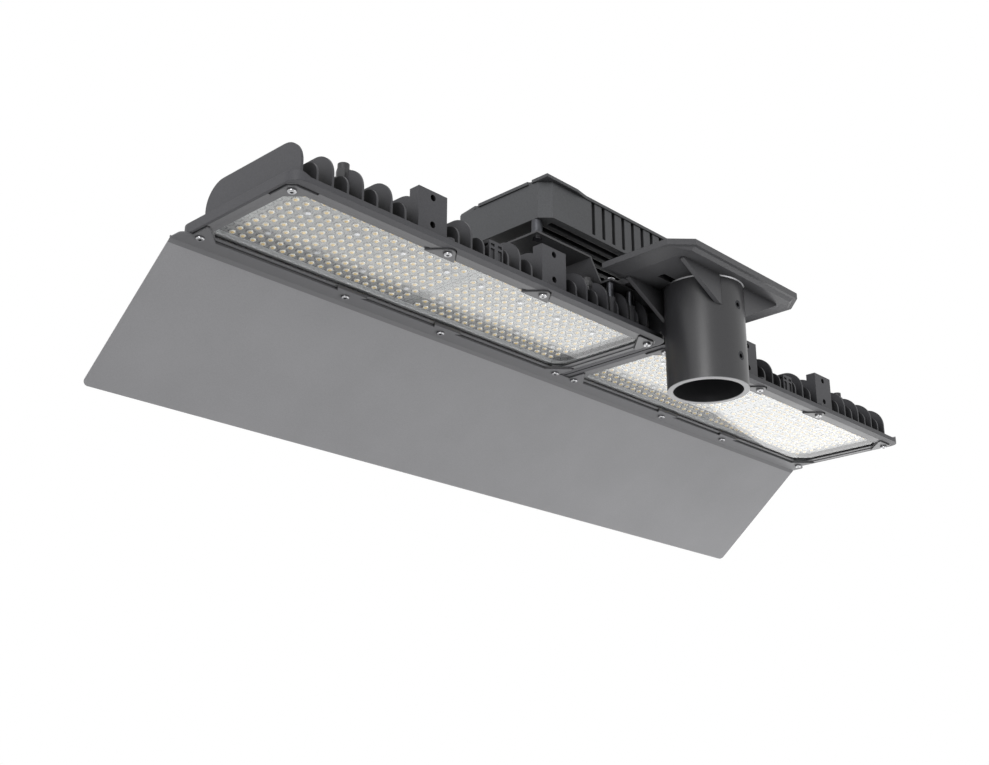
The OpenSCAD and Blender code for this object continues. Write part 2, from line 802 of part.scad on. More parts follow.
// Bezel: ring with a step round the window, a slot in front of the visor's flange, and ears;
// those on the near side are raised, the visor's tabs lie on those of the far side
module bezel(side) {
    color([0.36, 0.36, 0.37]) at_module(side) difference() {
        union() {
            difference() {
                translate([0, 0, rim_z]) linear_extrude(height = bezel_t)
                    cut_rect(bezel_half_l, bezel_half_w, bezel_cut);
                translate([0, 0, rim_z - 1]) linear_extrude(height = 1 + ear_groove_d)
                    ear_grooves([-1, 1]);
                translate([0, 0, rim_z - 1]) linear_extrude(height = 1 + bezel_step)
                    cut_rect(window_half_l + step_end, window_half_w + step_side, window_cut + 1.5);
                translate([-window_half_l, window_half_w + step_side - slot_far_w, rim_z - 1])
                    cube([2*window_half_l, slot_far_w, 1 + slot_far_d]);
            }
            translate([0, 0, rim_z]) linear_extrude(height = bezel_t) ears([1]);
            linear_extrude(height = rim_z + bezel_t) ears([-1]);
        }
        translate([0, 0, -1]) linear_extrude(height = glass_z + 2)
            cut_rect(window_half_l, window_half_w, window_cut);
        at_bezel_screws() translate([0, 0, -1])
            cylinder(r = screw_d/2 + hole_gap, h = glass_z + 2);
    }
}
module bezel_left() { bezel(-1); }
module bezel_right() { bezel(1); }

// Pan-head screws with a hexagon socket
module bezel_screws(side) {
    dome = 1;
    color("silver") at_module(side) at_bezel_screws() {
        cylinder(d = screw_d, h = screw_l);
        translate([0, 0, -head_h]) difference() {
            rotate_extrude() {
                translate([0, dome]) square([head_d/2, head_h - dome]);
                square([head_d/2 - dome, head_h]);
                intersection() {
                    translate([head_d/2 - dome, dome]) circle(dome);
                    square([head_d/2, head_h]);
                }
            }
            translate([0, 0, -1]) cylinder(d = 2.9, h = 2.3, $fn = 6);
        }
    }
}
module bezel_screws_left() { bezel_screws(-1); }
module bezel_screws_right() { bezel_screws(1); }

// Outer breather plug of each module: hexagon body and round cap
module vent_plugs() {
    color([0.2, 0.2, 0.2]) for (side = [-1, 1]) at_module(side)
        translate([side*vent_x, vent_y, vent_boss_z]) {
            translate([0, 0, -5]) cylinder(d = 4.4, h = 5.5);
            cylinder(d = 12, h = vent_hex_h, $fn = 6);
            translate([0, 0, vent_hex_h - 1]) cylinder(d = 9.2, h = 6.2);
        }
}

// Inner cable gland of each module: hexagon body and thread
module module_glands() {
    color([0.2, 0.2, 0.2]) for (side = [-1, 1]) at_module(side)
        translate([-side*vent_x, vent_y, vent_boss_z]) difference() {
            union() {
                translate([0, 0, -5]) cylinder(d = 4.4, h = 5.5);
                cylinder(d = 11.5, h = 3, $fn = 6);
                cylinder(d = 8, h = 9);
            }
            translate([0, 0, -6]) cylinder(d = 2.8, h = 20);
        }
}

// Clamp nut of that gland
module module_nut(side) {
    color([0.2, 0.2, 0.2]) at_module(side)
        translate([-side*vent_x, vent_y, vent_boss_z + 3.3]) difference() {
            union() {
                cylinder(d = 11.5, h = 5, $fn = 6);
                cylinder(d = 9.6, h = 8.5);
            }
            translate([0, 0, -1]) cylinder(d = 2.8, h = 12);
            translate([0, 0, -1]) cylinder(r = 4 + thread_gap, h = 7.2);
        }
}
module module_nut_left() { module_nut(-1); }
module module_nut_right() { module_nut(1); }

// Visor of folded sheet: a flange under the far screws and one long slope
module visor() {
    flange_in = visor_bend_y - window_half_w - step_side;
    color([0.5, 0.5, 0.5]) translate([0, face_y, face_lift]) {
        difference() {
            union() {
                translate([-visor_half_l, visor_bend_y - flange_in, ear_h - visor_t])
                    cube([2*visor_half_l, flange_in, visor_t]);
                translate([0, 0, ear_h - visor_t]) linear_extrude(height = visor_t)
                    for (side = [-1, 1]) translate([side*module_x, 0]) difference() {
                        ears([1]);
                        cut_rect(window_half_l, window_half_w, window_cut);
                    }
            }
            for (side = [-1, 1]) translate([side*module_x, 0, -2]) at_bezel_screws([1])
                cylinder(r = screw_d/2 + hole_gap, h = 6);
            for (m = [0, 1]) mirror([m, 0, 0]) flange_corner(visor_bend_y - flange_in);
        }
        translate([0, visor_bend_y, ear_h]) visor_slope();
    }
}

// Rounds the free corner of the visor's flange at height y
module flange_corner(y) {
    r = 6;
    translate([visor_half_l - r, y - 1, -2]) difference() {
        cube([r + 1, r + 1, 5]);
        translate([0, r + 1, -1]) cylinder(r = r, h = 7);
    }
}

// Sloping sheet with its bend, from the bend's outer corner
module visor_slope() {
    rotate([-visor_angle, 0, 0]) {
        translate([0, 0, -visor_t]) linear_extrude(height = visor_t) {
            translate([-visor_half_l, 0]) square([2*visor_half_l, visor_drop - visor_r]);
            translate([visor_r - visor_half_l, 0])
                square([2*(visor_half_l - visor_r), visor_drop]);
            for (x = [visor_r - visor_half_l, visor_half_l - visor_r])
                translate([x, visor_drop - visor_r]) circle(visor_r);
        }
    }
    rotate([0, 90, 0]) rotate([0, 0, 90 - visor_angle]) bend_wedge();
}

// Round outer side of the bend, between flange and slope
module bend_wedge() {
    intersection() {
        cylinder(r = visor_t, h = 2*visor_half_l, center = true);
        rotate([0, 0, visor_angle/2]) translate([0, -visor_t*2, -visor_half_l])
            cube([visor_t*2, visor_t*4, 2*visor_half_l]);
    }
}

// Bracket of folded sheet: table under the driver, leg, foot under the hub plate
module bracket(side) {
    color("dimgray") translate([0, face_y, 0]) scale([side, 1, 1]) difference() {
        union() {
            translate([table_in - 1, -table_half_w, table_z])
                cube([table_out - table_in + 1, 2*table_half_w, bracket_t]);
            along_y(table_half_w) polygon([[foot_out - 2.4, foot_z], [foot_out, foot_z],
                [table_in + 2.4, table_z + bracket_t], [table_in, table_z + bracket_t]]);
            translate([foot_in, -foot_half_w, foot_z])
                cube([foot_out - foot_in, 2*foot_half_w, bracket_t]);
        }
        for (y = stud_ys, k = [0.5, 1.5])
            translate([module_x - end_plate_x + k*fin_pitch, y, foot_z - 1])
                cylinder(r = stud_d/2 + hole_gap, h = bracket_t + 2);
        for (y = [-spacer_y, spacer_y])
            translate([spacer_x, y, table_z - 1])
                cylinder(r = driver_bolt_d/2 + hole_gap, h = bracket_t + 2);
    }
}
module bracket_left() { bracket(-1); }
module bracket_right() { bracket(1); }

// Places of the four bolts under the driver
module at_driver_bolts() {
    for (x = [-spacer_x, spacer_x], y = [-spacer_y, spacer_y])
        translate([x, face_y + y, 0]) children();
}

module driver_spacers() {
    color("silver") at_driver_bolts() translate([0, 0, table_z + bracket_t]) difference() {
        cylinder(d = spacer_d, h = spacer_h);
        translate([0, 0, -1]) cylinder(r = driver_bolt_d/2 + 0.2, h = spacer_h + 2);
    }
}

module driver_bolts() {
    color("silver") at_driver_bolts() {
        translate([0, 0, table_z - 1.6]) cylinder(d = 7.6, h = 1.6);
        translate([0, 0, table_z - 1]) cylinder(d = driver_bolt_d,
            h = bracket_t + spacer_h + floor_driver + 1.5);
    }
}

// Places of the lid's screws
module at_lid_screws() {
    for (x = lid_screw_x, y = [-lid_screw_y, lid_screw_y])
        translate([x, face_y + y, 0]) children();
}

module driver_housing() {
    color([0.35, 0.35, 0.36]) difference() {
        union() {
            translate([0, face_y, driver_z]) driver_shell();
            at_lid_screws() translate([0, 0, driver_z + 1])
                cylinder(d = driver_boss_d, h = driver_h - 1);
            at_driver_bolts() translate([0, 0, driver_z + 1])
                cylinder(d = driver_boss_d, h = floor_driver + 2);
        }
        at_lid_screws() translate([0, 0, driver_top - 10])
            cylinder(r = lid_screw_d/2 + thread_gap, h = 11);
        at_driver_bolts() translate([0, 0, driver_z - 1])
            cylinder(r = driver_bolt_d/2 + thread_gap, h = floor_driver + 2);
        translate([0, face_y, driver_top - 1.2]) linear_extrude(height = 2) gasket_ring(0.2);
        translate([driver_l/2 - driver_wall - 1, face_y, gland_z]) rotate([0, 90, 0]) {
            cylinder(r = 10 + thread_gap, h = driver_wall + 2);
            for (y = [-gland_y, gland_y]) translate([0, y, 0])
                cylinder(r = 8 + thread_gap, h = driver_wall + 2);
        }
    }
}

// Outline of the driver by half sizes: near corners cut by c, far corners square
module driver_outline(hx, hy, c) {
    polygon([[-hx, hy], [-hx, c - hy], [c - hx, -hy], [hx - c, -hy], [hx, c - hy], [hx, hy]]);
}

// Hollow box with grooves along both long sides and channels under its floor
module driver_shell() {
    side = driver_wall + groove_d;
    difference() {
        linear_extrude(height = driver_h)
            driver_outline(driver_l/2, driver_w/2, driver_chamfer);
        translate([0, 0, floor_driver]) linear_extrude(height = driver_h)
            driver_outline(driver_l/2 - driver_wall, driver_w/2 - side, driver_chamfer);
        for (k = [0 : groove_n - 1], m = [0, 1])
            mirror([0, m, 0]) translate([groove_first + k*groove_pitch - groove_w/2,
                driver_w/2 - groove_d, driver_wall])
                cube([groove_w, groove_d + 1, driver_h]);
        for (k = [0 : channel_n - 1])
            translate([channel_end - driver_l/2,
                (k - (channel_n - 1)/2)*driver_w/(channel_n + 1) - channel_w/2, -1])
                cube([driver_l - 2*channel_end, channel_w, channel_d + 1]);
    }
}

// Outline of the lid's gasket, grown by g
module gasket_ring(g) {
    in = driver_wall + groove_d;
    difference() {
        cut_rect(driver_l/2 - in + 1.4 + g, driver_w/2 - in + 1.4 + g, gasket_cut);
        cut_rect(driver_l/2 - in + 1.4 - gasket_w - g, driver_w/2 - in + 1.4 - gasket_w - g,
            gasket_cut);
    }
}

module driver_gasket() {
    color("black") translate([0, face_y, driver_top - 1.2])
        linear_extrude(height = 1.2) gasket_ring(0);
}

// Circuit board of the driver, on the bosses' shoulders
module driver_board() {
    color("darkgreen") difference() {
        translate([0, face_y, pcb_z]) linear_extrude(height = pcb_t)
            cut_rect(pcb_half_l, pcb_half_w, 2);
        at_lid_screws() translate([0, 0, pcb_z - 1]) cylinder(d = driver_boss_d + 2, h = pcb_t + 2);
    }
}

module driver_transformers() {
    color("goldenrod") translate([0, face_y, pcb_z + pcb_t]) {
        translate([-0.56*pcb_half_l, -0.4*pcb_half_w, 0])
            cube([0.27*pcb_half_l, 0.8*pcb_half_w, inner_h]);
        translate([0.18*pcb_half_l, -0.35*pcb_half_w, 0])
            cube([0.22*pcb_half_l, 0.7*pcb_half_w, inner_h]);
    }
}

module driver_capacitors() {
    color("navy") translate([0, face_y, pcb_z + pcb_t]) {
        for (x = [-0.1, 0.04]) translate([x*pcb_half_l, 0, 0])
            cylinder(d = 0.1*pcb_half_l, h = inner_h - 1);
        for (y = [-0.45, 0.45]) translate([-0.8*pcb_half_l, y*pcb_half_w, 0])
            cylinder(d = 0.08*pcb_half_l, h = inner_h - 4);
    }
}

module terminal_block() {
    color("ivory") translate([pcb_half_l - 28, face_y - block_w/2, pcb_z + pcb_t])
        difference() {
            cube([14, block_w, 0.6*inner_h]);
            for (k = [0.5 : 4.5]) translate([7, k*block_w/5, 0.3*inner_h])
                cylinder(d = 4, h = inner_h);
        }
}

// Lid with a wider lug at each near corner, tapered far corners and notched ends
module driver_lid() {
    hx = driver_l/2 + lid_end;
    hy = driver_w/2 + lid_side;
    near = driver_w/2 + lid_lug_out;
    color([0.38, 0.38, 0.39]) difference() {
        translate([0, face_y, driver_top]) linear_extrude(height = lid_t) polygon([
            [-hx, -near], [lid_lug_l - hx, -near], [lid_lug_l + lid_lug_blend - hx, -hy],
            [hx - lid_lug_l - lid_lug_blend, -hy], [hx - lid_lug_l, -near], [hx, -near],
            [hx, lid_far_cut], [hx - 4.5, hy + 1], [4.5 - hx, hy + 1], [-hx, lid_far_cut]]);
        for (x = [-hx, hx], y = lid_notch_y)
            translate([x, face_y + y, driver_top - 1]) cylinder(d = lid_notch_w, h = lid_t + 2);
        at_lid_screws() translate([0, 0, driver_top - 1])
            cylinder(r = lid_screw_d/2 + hole_gap, h = lid_t + 4);
    }
}

module driver_lid_screws() {
    color("silver") at_lid_screws() translate([0, 0, driver_top + lid_t]) difference() {
        union() {
            cylinder(d = 7.4, h = 2.4);
            translate([0, 0, -9]) cylinder(d = lid_screw_d, h = 9.2);
        }
        translate([0, 0, 0.8]) cylinder(d = 3, h = 3, $fn = 6);
    }
}

// Gland body with thread, hexagon and cable bore, axis along +X at the wall
module gland_body(d) {
    rotate([0, 90, 0]) difference() {
        union() {
            translate([0, 0, -driver_wall - 3]) cylinder(d = d, h = driver_wall + 4);
            cylinder(d = d*1.3, h = 5, $fn = 6);
            cylinder(d = d*0.86, h = 15);
        }
        translate([0, 0, -driver_wall - 4]) cylinder(d = d*0.5, h = 30);
    }
}

// Dome nut that clamps the cable
module gland_nut(d) {
    rotate([0, 90, 0]) translate([0, 0, 5.4]) difference() {
        union() {
            cylinder(d = d*1.3, h = 9, $fn = 6);
            cylinder(d = d*1.1, h = 13);
        }
        translate([0, 0, -1]) cylinder(d = d*0.5, h = 20);
        translate([0, 0, -1]) cylinder(r = d*0.43 + thread_gap, h = 11.4);
    }
}

module mains_gland() {
    color([0.15, 0.15, 0.15]) translate([driver_l/2, face_y, gland_z]) gland_body(20);
}
module mains_nut() {
    color([0.15, 0.15, 0.15]) translate([driver_l/2, face_y, gland_z]) gland_nut(20);
}
module output_glands() {
    color([0.15, 0.15, 0.15]) for (y = [-gland_y, gland_y])
        translate([driver_l/2, face_y + y, gland_z]) gland_body(16);
}
module output_nut(y) {
    color([0.15, 0.15, 0.15]) translate([driver_l/2, face_y + y, gland_z]) gland_nut(16);
}
module output_nut_near() { output_nut(-gland_y); }
module output_nut_far() { output_nut(gland_y); }

socket_tube();
socket_weld();
socket_gussets();
socket_tray();
cable_grommet();
set_screw_upper();
set_screw_lower();
hub_plate();
tray_bolts();
hub_studs();
stud_nuts();
foot_screws();
stud_spacers();
heat_sink_left();
heat_sink_right();
led_board_1();
led_board_2();
led_board_3();
led_board_4();
lens_plate_1();
lens_plate_2();
lens_plate_3();
lens_plate_4();
lens_screws_left();
lens_screws_right();
glass_gasket_left();
glass_gasket_right();
glass_left();
glass_right();
bezel_left();
bezel_right();
bezel_screws_left();
bezel_screws_right();
vent_plugs();
module_glands();
module_nut_left();
module_nut_right();
visor();
bracket_left();
bracket_right();
driver_spacers();
driver_bolts();
driver_housing();
driver_board();
driver_transformers();
driver_capacitors();
terminal_block();
driver_gasket();
driver_lid();
driver_lid_screws();
mains_gland();
mains_nut();
output_glands();
output_nut_near();
output_nut_far();
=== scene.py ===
# %% [markdown]
# # A sports flood light in its studio
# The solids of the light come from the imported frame, in metres, each already in its place. This script
# gives them their finishes, adds the small forms that solids leave out, and sets camera, lamps and floor.
# The origin is the centre of the pole socket's mouth, +Z runs up the pole and X along the light.

# %% Load the frame
import math
import bpy
import numpy as np
from mathutils import Matrix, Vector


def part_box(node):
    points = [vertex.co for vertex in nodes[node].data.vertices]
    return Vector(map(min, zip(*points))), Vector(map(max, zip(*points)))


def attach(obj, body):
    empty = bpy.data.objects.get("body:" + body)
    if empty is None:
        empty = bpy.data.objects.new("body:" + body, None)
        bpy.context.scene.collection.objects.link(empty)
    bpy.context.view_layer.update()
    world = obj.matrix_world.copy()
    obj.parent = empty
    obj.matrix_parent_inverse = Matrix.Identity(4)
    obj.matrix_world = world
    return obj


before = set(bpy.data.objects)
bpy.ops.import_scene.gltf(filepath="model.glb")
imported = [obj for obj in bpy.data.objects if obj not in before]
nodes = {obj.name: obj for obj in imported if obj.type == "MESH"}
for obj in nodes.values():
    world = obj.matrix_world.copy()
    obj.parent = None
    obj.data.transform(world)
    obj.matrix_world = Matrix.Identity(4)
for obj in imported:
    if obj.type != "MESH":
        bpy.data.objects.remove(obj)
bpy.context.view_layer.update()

MM = 0.001
scene = bpy.context.scene

# %% [markdown]
# ## Camera
# The photograph looks up at the light from its left, from about 1.3 m away. A camera is a position and
# three directions: right, up and backwards. They are put together into a matrix as its columns.

# %% Camera
PHOTO_WIDTH_PX, FOCAL_PX, SENSOR_MM = 989, 1358.57, 36
EYE = (-0.93450, -0.63102, -0.39276)
pitch, azimuth = math.radians(19.807), math.radians(43.511)
ahead = np.array([math.cos(azimuth), math.sin(azimuth), 0])
right = np.array([math.sin(azimuth), -math.cos(azimuth), 0])
skyward = np.array([0, 0, 1])
forward = math.cos(pitch)*ahead + math.sin(pitch)*skyward
up = math.cos(pitch)*skyward - math.sin(pitch)*ahead

camera_data = bpy.data.cameras.new("camera")
camera_data.sensor_width = SENSOR_MM
camera_data.lens = FOCAL_PX*SENSOR_MM/PHOTO_WIDTH_PX
camera_data.clip_start, camera_data.clip_end = 0.01, 50
camera = bpy.data.objects.new("camera", camera_data)
pose = Matrix((right, up, -forward)).transposed().to_4x4()
pose.translation = EYE
camera.matrix_world = pose
scene.collection.objects.link(camera)
scene.camera = camera
print("lens %.2f mm" % camera_data.lens)

# %% [markdown]
# ## Helpers for every finish
# A material is a tree of nodes. One helper turns the hex colour a paint chart gives into the linear
# numbers that light is added up in. Another adds a node, sets it, and links what feeds it. The rest are
# the steps that nearly every finish takes: noise, arithmetic, a mix of colours and a bump.

# %% Colour and node helpers
def linear(hex_colour):
    """Linear red, green, blue and 1 for an sRGB hex colour: ((c + 0.055)/1.055) to the power 2.4,
    or c/12.92 where it is very dark."""
    parts = [int(hex_colour[i:i + 2], 16)/255 for i in (1, 3, 5)]
    return tuple(c/12.92 if c < 0.04045 else ((c + 0.055)/1.055)**2.4 for c in parts) + (1.0,)


def add(tree, kind, feeds=None, **settings):
    """Adds one shader node. feeds maps an input's name or number to a value or to another node's
    output; settings are the node's own properties."""
    made = tree.nodes.new("ShaderNode" + kind)
    for name, value in settings.items():
        setattr(made, name, value)
    for name, value in (feeds or {}).items():
        if isinstance(value, bpy.types.NodeSocket):
            tree.links.new(value, made.inputs[name])
        else:
            made.inputs[name].default_value = value
    return made


def places(tree):
    """Where a point of the surface is, in metres from the light's origin."""
    return add(tree, "TexCoord").outputs["Object"]


def noise(tree, where, size_mm, detail):
    """Noise with spots about size_mm wide; detail counts its finer layers."""
    return add(tree, "TexNoise", {"Vector": where, "Scale": 1/(size_mm*MM), "Detail": detail}).outputs[0]


def spread(tree, value, low, high, least=0.3, most=0.7):
    """Stretches a value, such as a noise that mostly lies from least to most, to run from low to high:
    low + (value - least)/(most - least)*(high - low), kept within the two."""
    return add(tree, "MapRange", {"Value": value, "From Min": least, "From Max": most,
                                  "To Min": low, "To Max": high}).outputs[0]


def reckon(tree, operation, *values):
    """One step of arithmetic on numbers or other nodes' outputs."""
    return add(tree, "Math", dict(enumerate(values)), operation=operation).outputs[0]


def mixed(tree, share, colour, other, blend="MIX"):
    """The first colour where share is 0 and the other where it is 1. Blended by MULTIPLY, the other
    is a factor on the first."""
    return add(tree, "Mix", {"Factor": share, "A": colour, "B": other},
               data_type="RGBA", blend_type=blend).outputs[2]


def raised(tree, height, strength, depth_mm, **feeds):
    """The normal of a surface that height lifts by up to depth_mm."""
    return add(tree, "Bump", {"Strength": strength, "Distance": depth_mm*MM, "Height": height,
                              **feeds}).outputs[0]


def new_finish(name, **shader_values):
    """An empty material with its Principled shader: returns material, tree and shader."""
    material = bpy.data.materials.new(name)
    material.use_nodes = True
    tree = material.node_tree
    shader = tree.nodes["Principled BSDF"]
    for key, value in shader_values.items():
        shader.inputs[key.replace("_", " ")].default_value = value
    return material, tree, shader


def feed(tree, node, **outputs):
    """Links outputs to the node's inputs of the same names."""
    for name, output in outputs.items():
        tree.links.new(output, node.inputs[name.replace("_", " ")])


def wear(material, *names):
    """Gives the named nodes this material."""
    for name in names:
        slots = nodes[name].data.materials
        slots.clear()
        slots.append(material)

# %% [markdown]
# ## Powder coat
# Castings and sheet are coated with powder, anthracite on most parts and grey on bezels and visor. It
# melts into a skin with a fine orange peel and a faint speckle. The peel is about 1 mm across on the real
# thing; here it is 2 mm, because 1 mm is less than two pixels of the picture. Three noises do it: peel
# for the bump, speckle for the colour, and a slow one that changes gloss and shade a little across each
# part. Corners and gaps between fins get painted shade, and edges catch the light as if they were rounded.
#
# Three parts have a second colour painted in one place, each standing for light or shade: the casting
# behind the window is painted pale for the light that reaches it through the window, the visor's flange is
# painted darker than its slope as painted shade, and the cut mouth of the tube is painted lighter for the
# light it catches from below. A box says where, and reaches FAR out along an axis that doesn't matter.

# %% Powder coat finishes
SPECKLE_MM, PEEL_MM, SLOW_MM, EDGE_MM = 1.1, 2.0, 60, 0.7
SHADE_DRIFT = 0.04
# Painted shade in corners: the paint darkens to DARKEST where a share SHUT or less of all directions is
# free.
DARKEST, SHUT, OPEN = 0.08, 0.25, 0.8
FAR = 1


def painted_corner_shade(tree, reach_mm):
    """Painted shade: 1 where a share OPEN of all directions is free within reach, as on a plain face, and
    down to DARKEST where only a share SHUT is free, as in grooves, corners and gaps."""
    open_share = add(tree, "AmbientOcclusion", {"Distance": reach_mm*MM}, samples=8).outputs["AO"]
    return spread(tree, open_share, DARKEST, 1.0, SHUT, OPEN)


def in_box(tree, where, low, high):
    """1 for points between the corners low and high, else 0; x is taken without its sign, so that
    both modules are met: inside, the largest of |p - middle| - half is below 0."""
    middle = [(a + b)/2 for a, b in zip(low, high)]
    half = [(b - a)/2 for a, b in zip(low, high)]
    unsigned = add(tree, "VectorMath", {0: where}, operation="ABSOLUTE")
    shifted = add(tree, "VectorMath", {0: unsigned.outputs[0], 1: middle}, operation="SUBTRACT")
    distance = add(tree, "VectorMath", {0: shifted.outputs[0]}, operation="ABSOLUTE")
    beyond = add(tree, "VectorMath", {0: distance.outputs[0], 1: half}, operation="SUBTRACT")
    x, y, z = add(tree, "SeparateXYZ", {0: beyond.outputs[0]}).outputs
    largest = reckon(tree, "MAXIMUM", reckon(tree, "MAXIMUM", x, y), z)
    return reckon(tree, "LESS_THAN", largest, 0.0)


def powder_coat(name, colour, roughness=0.42, mirror=0.25, peel=0.12, speckle=0.10, shade_reach_mm=5.0,
                part=None):
    """Powder coat: colour times speckle and slow shade, painted shade in corners within the given reach,
    roughness plus slow gloss, bump from peel. part holds two corners of a box and the colour painted
    inside it as light or shade."""
    material, tree, shader = new_finish(name, IOR=1.5, Specular_IOR_Level=mirror)
    where = places(tree)
    slow = noise(tree, where, SLOW_MM, 3.0)
    shade = spread(tree, noise(tree, where, SPECKLE_MM, 2.0), 1 - speckle, 1 + speckle)
    both = reckon(tree, "MULTIPLY", shade, spread(tree, slow, 1 - SHADE_DRIFT, 1 + SHADE_DRIFT))
    paint = mixed(tree, 1.0, linear(colour), both, "MULTIPLY")
    # painted shade in corners, grooves and gaps
    paint = mixed(tree, 1.0, paint, painted_corner_shade(tree, shade_reach_mm), "MULTIPLY")
    if part:
        # painted light or shade inside the box
        low, high, other = part
        paint = mixed(tree, in_box(tree, where, low, high), paint, linear(other))
    rounded = add(tree, "Bevel", {"Radius": EDGE_MM*MM}, samples=4).outputs[0]
    feed(tree, shader, Base_Color=paint,
         Roughness=spread(tree, slow, roughness - 0.03, roughness + 0.04),
         Normal=raised(tree, noise(tree, where, PEEL_MM, 1.0), peel, 0.1, Normal=rounded))
    return material


pane_low, pane_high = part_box("glass_right")
board_top, visor_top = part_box("led_board_3")[1].z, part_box("visor")[1].z
# The pale seat behind the window is painted light, for the light that reaches it through the window.
painted_light_on_window_seat = pane_low, (pane_high.x, pane_high.y, board_top + MM), "#B4B5B6"
# The darker visor flange is painted shade: the slope catches the front light and the flange does not.
painted_shade_on_visor_flange = (0, -FAR, visor_top - 5*MM), (FAR, FAR, FAR), "#5C5C5E"
# The lighter tube mouth is painted light, for the light its cut face catches from below.
painted_light_on_tube_mouth = (0, -FAR, -MM), (FAR, FAR, 0.5*MM), "#7E7E80"

# The reach of each coat's painted corner shade, in mm: the long reaches darken the gaps between fins and
# the space under driver and brackets.
cast_coat = powder_coat("anthracite_powder_coat_on_casting", "#424245", shade_reach_mm=26.0,
                        part=painted_light_on_window_seat)
sheet_coat = powder_coat("anthracite_powder_coat_on_sheet", "#474749", roughness=0.38, shade_reach_mm=28.0)
tube_coat = powder_coat("anthracite_powder_coat_on_tube", "#29292B", roughness=0.33, mirror=0.6,
                        part=painted_light_on_tube_mouth)
bezel_coat = powder_coat("grey_powder_coat_on_bezel", "#515153", roughness=0.33, mirror=0.6,
                         shade_reach_mm=1.6)
visor_coat = powder_coat("grey_powder_coat_on_visor", "#7C7C7E", roughness=0.40, peel=0.06,
                         speckle=0.04, part=painted_shade_on_visor_flange)
driver_coat = powder_coat("anthracite_powder_coat_on_driver", "#4A4B4D", shade_reach_mm=32.0)

wear(cast_coat, "heat_sink_left", "heat_sink_right")
wear(driver_coat, "driver_housing", "driver_lid")
wear(tube_coat, "socket_tube")
wear(sheet_coat, "socket_gussets", "socket_tray", "hub_plate", "bracket_left", "bracket_right")
wear(bezel_coat, "bezel_left", "bezel_right")
wear(visor_coat, "visor")
print("six coats")

# %% [markdown]
# ## Bare metal
# Screws, bolts and nuts are polished stainless steel: a metal with low roughness and soft clouds. Studs
# and spacers are zinc plated and duller, and the set screws have a black oxide. The weld is left bright.
# Metal gets painted shade in its corners too. The lens screws sit inside the clear plates, where that
# painted shade would find a wall all round and turn them black, so their steel goes without it.

# %% Steel, zinc and black oxide
def bare_metal(name, colour, roughness, cloud, cloud_mm, shade_reach_mm=2.0):
    """Metal: colour times clouds, roughness plus clouds, faint bump from the same noise, and painted shade
    in corners within the given reach if that isn't 0."""
    material, tree, shader = new_finish(name, Metallic=1.0)
    clouds = noise(tree, places(tree), cloud_mm, 4.0)
    metal = mixed(tree, 1.0, linear(colour), spread(tree, clouds, 1 - cloud, 1.0), "MULTIPLY")
    # painted shade in the metal's corners
    if shade_reach_mm:
        metal = mixed(tree, 1.0, metal, painted_corner_shade(tree, shade_reach_mm), "MULTIPLY")
    feed(tree, shader, Base_Color=metal, Normal=raised(tree, clouds, 0.08, 0.05),
         Roughness=spread(tree, clouds, roughness*0.8, roughness*1.3))
    return material


# All steels but the lens screws' carry painted corner shade, within 2 mm unless another reach is given.
stainless = bare_metal("polished_stainless_steel", "#B4B4B6", 0.12, 0.15, 3.0)
# The lens screws' steel goes without painted corner shade.
unshaded_steel = bare_metal("stainless_steel_without_painted_shade", "#E2E2E4", 0.2, 0.1, 3.0, shade_reach_mm=0)
zinc = bare_metal("zinc_plated_steel", "#55565A", 0.38, 0.25, 2.5)
weld_steel = bare_metal("bright_weld_bead", "#8C8C8E", 0.32, 0.30, 1.5)
black_oxide = bare_metal("black_oxide_steel", "#3C3D40", 0.40, 0.25, 2.0)

wear(stainless, "tray_bolts", "foot_screws", "stud_nuts",
     "bezel_screws_left", "bezel_screws_right", "driver_bolts", "driver_lid_screws")
wear(unshaded_steel, "lens_screws_left", "lens_screws_right")
wear(black_oxide, "set_screw_upper", "set_screw_lower")
wear(zinc, "hub_studs", "stud_spacers", "driver_spacers")
wear(weld_steel, "socket_weld")
print("five metals")

# %% [markdown]
# ## Rubber, nylon and the driver's inner parts
# Moulded plastic and rubber are dull, with a fine spark-eroded grain from the mould. Glands and plugs are
# black nylon. The gaskets behind the window are pale grey silicone, so that no dark line shows there.

# %% Moulded parts
def moulded(name, colour, roughness, grain_mm, grain):
    """Moulded plastic: plain colour with a slight mottle, bump from a fine mould grain."""
    material, tree, shader = new_finish(name, Roughness=roughness, IOR=1.5)
    mould = noise(tree, places(tree), grain_mm, 3.0)
    body = mixed(tree, 1.0, linear(colour), spread(tree, mould, 0.88, 1.1), "MULTIPLY")
    feed(tree, shader, Base_Color=body, Normal=raised(tree, mould, grain, 0.1))
    return material


wear(moulded("black_rubber", "#1C1C1D", 0.7, 1.0, 0.2), "cable_grommet", "driver_gasket")
wear(moulded("grey_silicone", "#B9B9BA", 0.6, 1.0, 0.1), "glass_gasket_left", "glass_gasket_right")
wear(moulded("black_nylon", "#2B2B2D", 0.45, 1.2, 0.15),
     "module_glands", "module_nut_left", "module_nut_right", "mains_gland", "mains_nut",
     "output_glands", "output_nut_near", "output_nut_far", "vent_plugs")
wear(moulded("green_circuit_board", "#1F5A36", 0.35, 4.0, 0.1), "driver_board")
wear(moulded("varnished_transformer", "#8A6A2E", 0.4, 3.0, 0.3), "driver_transformers")
wear(moulded("capacitor_sleeve", "#23274A", 0.25, 2.0, 0.05), "driver_capacitors")
wear(moulded("terminal_polyamide", "#CFC9B8", 0.45, 1.0, 0.1), "terminal_block")
print("seven moulded finishes")

# %% [markdown]
# ## LED boards
# A board is white solder mask. Under each lens sits a white ceramic package with a patch of yellow
# phosphor. The chips are in one solid with the board, so the material finds them by place: it folds the
# light at its middle and again at the middle of a module, where two boards meet, counts in LED pitches
# from there, and measures how far a point is from the nearest LED.

